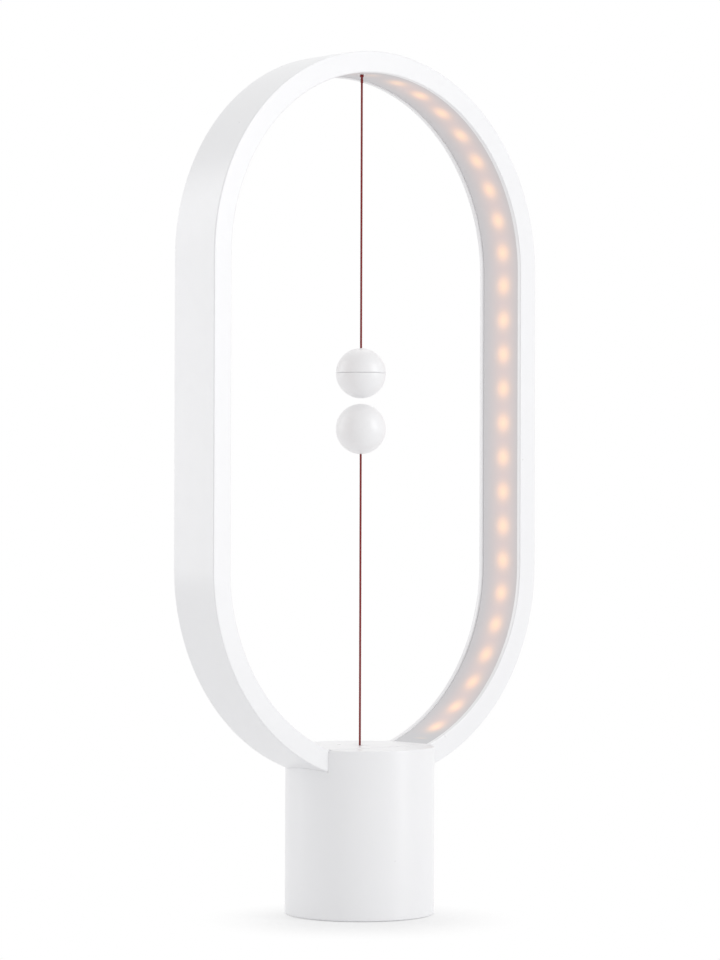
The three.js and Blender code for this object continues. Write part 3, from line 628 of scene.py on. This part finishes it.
# %% Mouth and tongue of the inlet
mouth_radius = (inlet_high.z - inlet_low.z) / 2 * ROUND_END
mouth = rounded_bar("inlet_mouth", inlet_low, inlet_high, mouth_radius)
edit(mouth)
pick(mouth, "FACE", lambda p: p.y > inlet_high.y - SMALL)
bpy.ops.mesh.inset(thickness=INLET_WALL)
depth = inlet_high.y - inlet_low.y - INLET_WALL
bpy.ops.mesh.extrude_region_move(TRANSFORM_OT_translate={"value": (0, -depth, 0)})
leave()
smooth(mouth, 40)
seat(mouth, "lamp_stand", "steel", "power_inlet")
tongue = box("inlet_contact_tongue", tongue_low, tongue_high)
round_edges(tongue, TONGUE_ROUNDING, lambda p: p.y > tongue_high.y - SMALL, 2)
smooth(tongue)
seat(tongue, "lamp_stand", "black_plastic", "inlet_tongue")

# %% [markdown]
# A cover closes the foot of the ring, so that the base's top looks like one disc with two fine
# seams. It stands a hair proud of the base and has softened edges, which catch the light and let
# the seams show. Seen from the side it is a segment: flat above and curved below. It starts as a
# block and loses all that the ring's curve doesn't hold. A second, narrower segment is its tongue,
# which fills the open channel of the ring. Two bosses under it take the screws of the ring.

# %% Cover of the ring's foot
COVER_GAP = 0.0001
COVER_ROUNDING = 0.0003
COVER_STEP = 0.0003
EYELET_OUTER = 0.0032
EYELET_FLANGE_THICKNESS = 0.0008
BOSS_RADIUS = 0.0032
BOSS_UNDER_TOP = 0.0005
eyelet_low, eyelet_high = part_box("base_eyelet")
cover_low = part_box("foot_cover")[0]
eyelet_flange = (eyelet_high.x - eyelet_low.x) / 2
flange_top = eyelet_low.z + EYELET_FLANGE_THICKNESS
cover_top = base_top + COVER_STEP
cover_reach = math.sqrt((ring_inner - COVER_GAP) ** 2 - (lower_arc - cover_top) ** 2)


def segment(name, reach, half_depth, radius):
    """Bar across the ring, flat above and round below like the inside of the ring"""
    under = lower_arc - radius - BASE_ROOF
    piece = box(name, (-reach, -half_depth, under), (reach, half_depth, cover_top))
    bpy.ops.mesh.primitive_cylinder_add(
        vertices=BEND_SIDES, radius=radius, depth=ring_depth * 2,
        location=(0, 0, lower_arc), rotation=(math.pi / 2, 0, 0),
    )
    carve(piece, begin("bowl"), "INTERSECT")
    return piece


def at_seam(p):
    return p.z > cover_top - SMALL and abs(p.y) > ring_depth / 2 - SMALL


cover = segment("ring_foot_cover", ring_inner, ring_depth / 2, ring_inner - COVER_GAP)
tongue_half = channel_half - BAND_SIDE_GAP
carve(cover, segment("tongue", cover_reach, tongue_half, band_inner - COVER_GAP), "UNION")
for side in (-1, 1):
    boss_x = side * ring_screw_x
    carve(cover, tube("boss", BOSS_RADIUS, cover_low.z, base_top - BOSS_UNDER_TOP, boss_x), "UNION")
    hole_top = ring_screw_high.z + HOLE_GAP
    carve(cover, tube("boss_hole", SCREW_RADIUS + HOLE_GAP, floor_under, hole_top, boss_x, sides=24))
carve(cover, tube("eyelet_hole", EYELET_OUTER + COVER_GAP, 0, base_top * 2, sides=64))
carve(cover, tube("flange_room", eyelet_flange + COVER_GAP, 0, flange_top + COVER_GAP, sides=64))
round_edges(cover, COVER_ROUNDING, at_seam, 2)
smooth(cover, 30)
seat(cover, "lamp_stand", "white_plastic", "foot_cover")

# %% [markdown]
# The strings pass through eyelets. The lower one is the end of the plunger's guide: it is wide
# below, where the plunger slides, and has a lip with a smaller hole at the top, through which the
# string tilts. A flange under the cover holds it. The upper one is closed above and holds its knot
# in a cup. Both are turned parts, so they are made of round bars with a common axis.

# %% Eyelets
EYELET_LIP = 0.0012
EYELET_HOLE = 0.0018
EYELET_ROUNDING = 0.00025
PLUNGER_BORE = 0.0024
TOP_CUP_RADIUS = 0.0012
TOP_CUP_DEPTH = 0.0016
TOP_CUP_ROUNDING = 0.0002
top_low, top_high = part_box("top_eyelet")
eyelet = tube("string_eyelet", EYELET_OUTER, eyelet_low.z, cover_top, sides=64)
carve(eyelet, tube("flange", eyelet_flange, eyelet_low.z, flange_top, sides=64), "UNION")
carve(eyelet, tube("plunger_bore", PLUNGER_BORE, 0, base_top - EYELET_LIP, sides=64))
carve(eyelet, tube("string_hole", EYELET_HOLE, 0, base_top * 2, sides=64))
round_edges(eyelet, EYELET_ROUNDING, lambda p: p.z > cover_top - SMALL, 3)
smooth(eyelet, 40)
seat(eyelet, "lamp_stand", "white_plastic", "base_eyelet")

top_eyelet = tube("ceiling_eyelet", TOP_EYELET_OUTER, top_low.z, top_high.z, sides=48)
cup = tube("cup", TOP_CUP_RADIUS, top_low.z - TOP_CUP_DEPTH, top_low.z + TOP_CUP_DEPTH, sides=32)
carve(top_eyelet, cup)
top_flange = (top_high.x - top_low.x) / 2
flange_low = top_high.z - EYELET_FLANGE_THICKNESS
carve(top_eyelet, tube("top_flange", top_flange, flange_low, top_high.z, sides=48), "UNION")
round_edges(top_eyelet, TOP_CUP_ROUNDING, lambda p: p.z < top_low.z + SMALL, 3)
smooth(top_eyelet, 40)
seat(top_eyelet, "lamp_stand", "white_plastic", "top_eyelet")

# %% [markdown]
# A disc of rubber closes the base from below and keeps the lamp from sliding. Its lower edge is
# softened, as a punched and pressed pad is.

# %% Foot pad
PAD_ROUNDING = 0.0003
pad_low, pad_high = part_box("foot_pad")
pad_radius = (pad_high.x - pad_low.x) / 2
pad = tube("rubber_foot", pad_radius, pad_low.z, pad_high.z, sides=128)
round_edges(pad, PAD_ROUNDING, lambda p: p.z < pad_low.z + SMALL, 3)
smooth(pad, 40)
seat(pad, "lamp_stand", "foot_rubber", "foot_pad")

# %% [markdown]
# Each ball is a pair of half shells. A fine globe is cut in two, the point at its pole is taken
# away where the string goes through, and Solidify gives the wall. Solidify leans the rim a little
# over the seam, so those points are put back level with it. Only the upper ball shows its seam in
# the photo, as a fine groove, so only its rims are chamfered.

# %% Balls
BALL_WALL = 0.002
SEAM_CHAMFER = 0.0004
BALL_SEGMENTS = 96
BALL_RINGS = 48


def half_ball(name, node, body, side, holed, chamfer):
    low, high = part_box(node)
    radius = (high.x - low.x) / 2
    middle = low.z if side > 0 else high.z
    bpy.ops.mesh.primitive_uv_sphere_add(
        segments=BALL_SEGMENTS, ring_count=BALL_RINGS, radius=radius, location=(0, 0, middle),
    )
    piece = begin(name)
    edit(piece)
    pick_all("FACE")
    bpy.ops.mesh.bisect(plane_co=(0, 0, middle), plane_no=(0, 0, side), clear_inner=True)
    if holed:
        pole = middle + side * radius
        pick(piece, "VERT", lambda p: abs(p.z - pole) < SMALL)
        bpy.ops.mesh.delete(type="VERT")
    leave()
    modify(piece, "SOLIDIFY", thickness=BALL_WALL, offset=-1)
    for point in piece.data.vertices:
        if side * (point.co.z - middle) < 0:
            point.co.z = middle
    if chamfer:
        def at_rim(p):
            return abs(p.z - middle) < SMALL and math.hypot(p.x, p.y) > radius - SMALL
        round_edges(piece, SEAM_CHAMFER, at_rim, 2)
    smooth(piece, 40)
    return seat(piece, body, "ball_plastic", node)


half_ball("upper_ball_cap", "upper_ball_top_shell", "upper_ball", 1, True, True)
half_ball("upper_ball_cup", "upper_ball_bottom_shell", "upper_ball", -1, False, True)
half_ball("lower_ball_cap", "lower_ball_top_shell", "lower_ball", 1, False, False)
half_ball("lower_ball_cup", "lower_ball_bottom_shell", "lower_ball", -1, True, False)

# %% [markdown]
# A finish in Blender is a small net of nodes. To draw one by code, a class wraps a socket so that
# sums can be written as plain Python, and another adds any node by its type, its settings and the
# values of its sockets. The finishes below then read almost like recipes.

# %% Sums and nodes for finishes


class Value:
    """A socket that can be used in a sum"""

    def __init__(self, finish, socket):
        self.finish = finish
        self.socket = socket

    def sum(self, operation, *values):
        return self.finish.node("ShaderNodeMath", {"operation": operation}, dict(enumerate(values)))

    def __add__(self, other):
        return self.sum("ADD", self, other)

    def __radd__(self, other):
        return self.sum("ADD", other, self)

    def __sub__(self, other):
        return self.sum("SUBTRACT", self, other)

    def __mul__(self, other):
        return self.sum("MULTIPLY", self, other)

    def __rmul__(self, other):
        return self.sum("MULTIPLY", other, self)

    def __truediv__(self, other):
        return self.sum("DIVIDE", self, other)


class Finish:
    """A material that is built up node by node"""

    def __init__(self, name, roughness=0.5, metallic=0.0):
        self.material = bpy.data.materials.new(name)
        self.material.use_nodes = True
        self.tree = self.material.node_tree
        self.surface = self.tree.nodes["Principled BSDF"]
        self.set("Roughness", roughness)
        self.set("Metallic", metallic)

    def set(self, socket, value):
        self.feed(self.surface.inputs[socket], value)

    def feed(self, socket, value):
        if isinstance(value, Value):
            self.tree.links.new(value.socket, socket)
        else:
            socket.default_value = value

    def node(self, kind, settings=None, values=None, output=0):
        made = self.tree.nodes.new(kind)
        for key, setting in (settings or {}).items():
            setattr(made, key, setting)
        for key, value in (values or {}).items():
            self.feed(made.inputs[key], value)
        return Value(self, made.outputs[output])

    def place(self):
        """The place of a point in the object's own frame"""
        return self.node("ShaderNodeTexCoord", output="Object")

    def noise(self, scale, detail=2.0, roughness=0.5):
        values = {"Vector": self.place(), "Scale": scale, "Detail": detail, "Roughness": roughness}
        return self.node("ShaderNodeTexNoise", None, values)

    def mix(self, share, first, second):
        """One colour going over into another"""
        values = {"Factor": share, 6: first, 7: second}
        return self.node("ShaderNodeMix", {"data_type": "RGBA"}, values, 2)

    def ease(self, value, start, end, low, high):
        """Goes smoothly from one level to another while a value rises from start to end"""
        values = {"Value": value, "From Min": start, "From Max": end, "To Min": low, "To Max": high}
        return self.node("ShaderNodeMapRange", {"interpolation_type": "SMOOTHSTEP"}, values)

    def bump(self, height, distance, strength=1.0):
        values = {"Height": height, "Distance": distance, "Strength": strength}
        self.set("Normal", self.node("ShaderNodeBump", None, values))


# %% [markdown]
# The ring and the base are moulded in white plastic with a satin skin. Nothing in it is one flat
# colour: the mould leaves a very fine grain, and the white drifts a little towards blue or grey
# over a few centimetres. Both are kept so faint that they are felt more than seen.

# %% White plastics
SATIN = 1.0
DRIFT_SCALE = 14.0
SMEAR_SCALE = 160.0
SMEAR_DEPTH = 0.1
GRAIN_SCALE = 2600.0
GRAIN_HEIGHT = 0.000006


def moulded(name, colour, other, roughness, grain=GRAIN_HEIGHT):
    """Moulded plastic with a fine grain and a faint drift of its colour"""
    finish = Finish(name, roughness)
    finish.set("Specular IOR Level", SATIN)
    drift = finish.noise(DRIFT_SCALE)
    finish.set("Base Color", finish.mix(drift, colour, other))
    smear = finish.noise(SMEAR_SCALE, 3.0)
    finish.set("Roughness", roughness - SMEAR_DEPTH / 2 + SMEAR_DEPTH * smear)
    finish.bump(finish.noise(GRAIN_SCALE, 3.0, 0.6), grain)
    return finish.material


WHITE = (0.900, 0.900, 0.912, 1)
WHITE_OTHER = (0.880, 0.882, 0.897, 1)
BALL_WHITE = (0.905, 0.905, 0.915, 1)
BALL_OTHER = (0.890, 0.891, 0.902, 1)
WHITE_ROUGHNESS = 0.30
BALL_ROUGHNESS = 0.36
BALL_GRAIN = 0.00001
white_plastic = moulded("white_plastic", WHITE, WHITE_OTHER, WHITE_ROUGHNESS)
ball_plastic = moulded("ball_plastic", BALL_WHITE, BALL_OTHER, BALL_ROUGHNESS, BALL_GRAIN)

# %% [markdown]
# The band of light is frosted plastic with warm diodes behind it. Each diode makes a soft round
# spot, and between the spots the light spreads into a warm blush. The spots repeat at the pitch
# of the diodes, so the distance along the band is folded into one pitch, and a bell curve of the
# distance from the spot's middle gives its glow. In the photo the light is weak beside the eyelet
# at the top and stops before the ends of the band. So the distance from the top dims spots and
# blush near the eyelet, cuts the spots off after the last diode and lets the blush fade out there.
# The glow goes into the emission, and the frosted plastic keeps a colour of its own for the light
# of the room.

# %% Glow of the band
DIODE_PITCH = 0.0167
FIRST_DIODE = 0.2155
DIODE_FORWARD = 0.0020
LIT_HALF = 0.4008
TOP_ALONG = straight / 2 + math.pi / 2 * DIODE_RADIUS
TOP_GLOW = 0.25
TOP_FADE_FROM = 0.5 * DIODE_PITCH
TOP_FADE_TO = 1.8 * DIODE_PITCH
SPOT_WIDTH = 0.0029
BLUSH_WIDTH = 0.0062
GLOW_SPOT = (0.400, 0.190, 0.020, 1)
GLOW_BLUSH = (0.150, 0.045, 0.015, 1)
BLACK = (0, 0, 0, 1)
FROSTED = (0.670, 0.672, 0.690, 1)
FROST_SHADE = 0.985
FROSTED_OTHER = tuple(FROST_SHADE * c for c in FROSTED[:3]) + (1,)
FROST_ROUGHNESS = 0.55
FROST_DRIFT_SCALE = 60.0
FROST_GRAIN_SCALE = 3000.0
FROST_GRAIN = 0.000008

glow = Finish("glowing_diffuser", FROST_ROUGHNESS)
glow_along = glow.node("ShaderNodeAttribute", {"attribute_name": "along"}, output="Fac")
glow_across = glow.node("ShaderNodeAttribute", {"attribute_name": "across"}, output="Fac")
first_share = FIRST_DIODE / DIODE_PITCH + 0.5
lap = glow_along / DIODE_PITCH - first_share
folded = (lap.sum("FLOORED_MODULO", lap, 1.0) - 0.5) * DIODE_PITCH
off_middle = glow_across + DIODE_FORWARD
near = folded * folded + off_middle * off_middle
from_top = glow_along.sum("ABSOLUTE", glow_along - TOP_ALONG)
lit_part = from_top.sum("LESS_THAN", from_top, LIT_HALF)
end_fade = glow.ease(from_top, LIT_HALF - DIODE_PITCH, LIT_HALF, 1.0, 0.0)
top_fade = glow.ease(from_top, TOP_FADE_FROM, TOP_FADE_TO, TOP_GLOW, 1.0)
spot = lit_part * top_fade * near.sum("EXPONENT", near * (-0.5 / SPOT_WIDTH ** 2))
blush = end_fade * top_fade * near.sum("EXPONENT", off_middle * off_middle * (-0.5 / BLUSH_WIDTH ** 2))
spot_light = glow.mix(spot, BLACK, GLOW_SPOT)
blush_light = glow.mix(blush, BLACK, GLOW_BLUSH)
both = glow.node("ShaderNodeVectorMath", {"operation": "ADD"}, {0: spot_light, 1: blush_light})
glow.set("Emission Color", both)
glow.set("Emission Strength", 1.0)
glow.set("Base Color", glow.mix(glow.noise(FROST_DRIFT_SCALE), FROSTED, FROSTED_OTHER))
glow.bump(glow.noise(FROST_GRAIN_SCALE), FROST_GRAIN)

# %% [markdown]
# The string is dyed cotton. Its red is uneven, because the dye takes more in one fibre than in the
# next, and it has loose fibres, which a little sheen and a fine bump stand for.

# %% String
STRING_RED = (0.270, 0.036, 0.036, 1)
STRING_DARK = (0.190, 0.024, 0.024, 1)
COTTON_ROUGHNESS = 0.85
COTTON_SHINE = 0.15
COTTON_SHEEN = 0.05
DYE_SCALE = 1800.0
FIBRE_SCALE = 7000.0
FIBRE_HEIGHT = 0.00004
cotton = Finish("red_cotton", COTTON_ROUGHNESS)
cotton.set("Base Color", cotton.mix(cotton.noise(DYE_SCALE, 3.0), STRING_DARK, STRING_RED))
cotton.bump(cotton.noise(FIBRE_SCALE, 3.0), FIBRE_HEIGHT)
cotton.set("Specular IOR Level", COTTON_SHINE)
cotton.set("Sheen Weight", COTTON_SHEEN)

# %% [markdown]
# The pieces inside never show while the lamp is whole, but they are real and get real finishes:
# plated and brushed steel, turned brass, rubber, coloured insulation and a lacquered board.

# %% Finishes of the works
MARK_SCALE = 900.0
MARK_SHADE = 0.86
MARK_ROUGHNESS = 0.12
MARK_DEPTH = 0.00001
RUBBER_DARK = (0.085, 0.085, 0.09, 1)
RUBBER_LIGHT = (0.12, 0.12, 0.125, 1)
RUBBER_ROUGHNESS = 0.85
RUBBER_DUST_SCALE = 500.0
RUBBER_GRAIN_SCALE = 2500.0
RUBBER_GRAIN = 0.00003
LACQUER = (0.02, 0.11, 0.05, 1)
LACQUER_OTHER = (0.025, 0.13, 0.06, 1)
TRACE_COLOUR = (0.05, 0.2, 0.09, 1)
TRACE_SCALE = 260.0
TRACE_WIDTH = 0.03
BOARD_ROUGHNESS = 0.35


def metal(name, colour, roughness, stretch):
    """Metal with fine marks of the tool in one direction"""
    finish = Finish(name, roughness, 1.0)
    mapping = finish.node("ShaderNodeMapping", None, {"Vector": finish.place(), "Scale": stretch})
    marks = finish.node("ShaderNodeTexNoise", None, {"Vector": mapping, "Scale": MARK_SCALE, "Detail": 3.0})
    shade = tuple(MARK_SHADE * c for c in colour[:3]) + (1,)
    finish.set("Base Color", finish.mix(marks, shade, colour))
    finish.set("Roughness", roughness + MARK_ROUGHNESS * marks)
    finish.bump(marks, MARK_DEPTH)
    return finish.material


rubber = Finish("foot_rubber", RUBBER_ROUGHNESS)
rubber.set("Base Color", rubber.mix(rubber.noise(RUBBER_DUST_SCALE, 3.0), RUBBER_DARK, RUBBER_LIGHT))
rubber.bump(rubber.noise(RUBBER_GRAIN_SCALE, 3.0), RUBBER_GRAIN)

board = Finish("green_board", BOARD_ROUGHNESS)
traces = board.node("ShaderNodeTexBrick", None, {
    "Vector": board.place(), "Color1": LACQUER, "Color2": LACQUER_OTHER, "Mortar": TRACE_COLOUR,
    "Scale": TRACE_SCALE, "Mortar Size": TRACE_WIDTH,
})
board.set("Base Color", traces)

finishes = {
    "white_plastic": white_plastic,
    "ball_plastic": ball_plastic,
    "diffuser": glow.material,
    "strip": moulded("strip_coating", (0.85, 0.84, 0.76, 1), (0.80, 0.78, 0.68, 1), 0.45),
    "foot_rubber": rubber.material,
    "steel": metal("plated_steel", (0.56, 0.57, 0.58, 1), 0.28, (1.0, 1.0, 0.08)),
    "brass": metal("turned_brass", (0.66, 0.48, 0.20, 1), 0.25, (0.3, 0.3, 1.0)),
    "black_plastic": moulded("black_plastic", (0.02, 0.02, 0.022, 1), (0.03, 0.03, 0.032, 1), 0.45),
    "cream_plastic": moulded("cream_plastic", (0.70, 0.64, 0.46, 1), (0.66, 0.60, 0.42, 1), 0.4),
    "board": board.material,
    "red_insulation": moulded("red_insulation", (0.35, 0.02, 0.02, 1), (0.28, 0.015, 0.015, 1), 0.55),
    "string": cotton.material,
}

# %% [markdown]
# The record of the part says which finish each piece has. The pieces that were made above replace
# some of the ready made ones, and the rest only need their finish.

# %% Give every piece its finish
slots = {part["node"]: part["material_slot"] for part in frame["record"]["subparts"]}
for node_name, node in frame["nodes"].items():
    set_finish(node, slots[node_name])
    finish = finishes[slots[node_name]]
    if not node.material_slots:
        node.data.materials.append(finish)
    for material_slot in node.material_slots:
        material_slot.material = finish
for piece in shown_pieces():
    if "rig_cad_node" not in piece:
        piece.data.materials.append(finishes[piece["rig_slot"]])
print("finishes:", len(finishes))

# %% [markdown]
# The photo is a product shot on pure white. Two tall, narrow lamps stand at the sides: one to the
# right of the camera, for the bright right half of the base, and a weaker one at the far left and
# a little behind, for the light rim there. A third one behind and above lights the tops. They are
# area lamps, because only a lamp with a size of its own gives soft edges to light and shadow.

# %% Lights
LAMP_DISTANCE = 2.2
LAMP_AIM = 0.2


def soft_lamp(name, turn, height, width, tall, level):
    """Lamp at a bearing from the camera's, in degrees; level is the white that it adds"""
    data = bpy.data.lights.new(name, "AREA")
    data.shape = "RECTANGLE"
    data.size = width
    data.size_y = tall
    data.energy = level * (math.pi * LAMP_DISTANCE) ** 2
    lamp = bpy.data.objects.new(name, data)
    scene.collection.objects.link(lamp)
    bearing = CAMERA_TURN + math.radians(turn)
    rise = math.radians(height)
    middle = Vector((0, 0, LAMP_AIM))
    away = Vector((
        math.sin(bearing) * math.cos(rise), -math.cos(bearing) * math.cos(rise), math.sin(rise),
    ))
    lamp.location = middle + LAMP_DISTANCE * away
    lamp.rotation_euler = away.to_track_quat("Z", "Y").to_euler()
    print(name, "at", [round(value, 2) for value in lamp.location])


soft_lamp("key_lamp", turn=68, height=12, width=0.7, tall=2.2, level=0.30)
soft_lamp("rim_lamp", turn=-103, height=12, width=0.35, tall=2.2, level=0.13)
soft_lamp("top_lamp", turn=170, height=62, width=1.2, tall=1.2, level=0.09)

# %% [markdown]
# The white of the studio fills the rest. Full white from all sides would leave the lamps nothing to
# shape, and a darker world would turn the background and the reflections grey. So the world looks
# at the kind of ray: the camera, the reflections and what shines through see full white, and matt
# surfaces get about three quarters of it.

# %% White of the studio
AMBIENT = 0.755
world = bpy.data.worlds.new("studio")
scene.world = world
world.use_nodes = True
world_nodes = world.node_tree.nodes
world_links = world.node_tree.links
sky = world_nodes["Background"]
path = world_nodes.new("ShaderNodeLightPath")
seen = world_nodes.new("ShaderNodeMath")
seen.operation = "MAXIMUM"
world_links.new(path.outputs["Is Camera Ray"], seen.inputs[0])
world_links.new(path.outputs["Is Glossy Ray"], seen.inputs[1])
through = world_nodes.new("ShaderNodeMath")
through.operation = "MAXIMUM"
world_links.new(seen.outputs[0], through.inputs[0])
world_links.new(path.outputs["Is Transmission Ray"], through.inputs[1])
level_mix = world_nodes.new("ShaderNodeMapRange")
level_mix.inputs["To Min"].default_value = AMBIENT
level_mix.inputs["To Max"].default_value = 1.0
world_links.new(through.outputs[0], level_mix.inputs["Value"])
world_links.new(level_mix.outputs[0], sky.inputs["Strength"])
sky.inputs["Color"].default_value = (1, 1, 1, 1)
print("share of the studio's white on matt surfaces:", AMBIENT)

# %% [markdown]
# The floor is white paper. Near the base it is an ordinary matt surface, so that the base throws
# its soft shadow on it. Further off it goes over into plain white for the camera, and so it
# runs into the background without an edge. The shadow in the photo is faint and lies more on the
# camera's side, so the matt patch keeps a share of plain white and its middle is moved that way.

# %% Floor
FLOOR_SIZE = 8.0
SHADOW_AHEAD = 0.025
SHADOW_INNER = 0.015
SHADOW_OUTER = 0.078
SHADOW_SHARE = 0.65
PAPER_WHITE = (0.92, 0.92, 0.925, 1)
PAPER_ROUGHNESS = 0.9
bpy.ops.mesh.primitive_plane_add(size=FLOOR_SIZE, location=(0, 0, 0))
floor = begin("paper_floor")
paper = Finish("white_paper", PAPER_ROUGHNESS)
paper.set("Base Color", PAPER_WHITE)
paper.set("Specular IOR Level", 0.0)
shadow_middle = (SHADOW_AHEAD * math.sin(CAMERA_TURN), -SHADOW_AHEAD * math.cos(CAMERA_TURN), 0)
spread_out = paper.node(
    "ShaderNodeVectorMath", {"operation": "DISTANCE"}, {0: paper.place(), 1: shadow_middle}, "Value",
)
far = paper.ease(spread_out, SHADOW_INNER, SHADOW_OUTER, 1 - SHADOW_SHARE, 1.0)
rays = paper.tree.nodes.new("ShaderNodeLightPath")
camera_ray = Value(paper, rays.outputs["Is Camera Ray"])
glossy_ray = Value(paper, rays.outputs["Is Glossy Ray"])
through_ray = Value(paper, rays.outputs["Is Transmission Ray"])
seen_ray = camera_ray.sum("MAXIMUM", camera_ray, camera_ray.sum("MAXIMUM", glossy_ray, through_ray))
white_light = paper.node("ShaderNodeEmission", None, {"Color": (1, 1, 1, 1), "Strength": 1.0})
matt = Value(paper, paper.surface.outputs[0])
blended = paper.node("ShaderNodeMixShader", None, {0: far * seen_ray, 1: matt, 2: white_light})
output = paper.tree.nodes["Material Output"]
paper.feed(output.inputs["Surface"], blended)
floor.data.materials.append(paper.material)
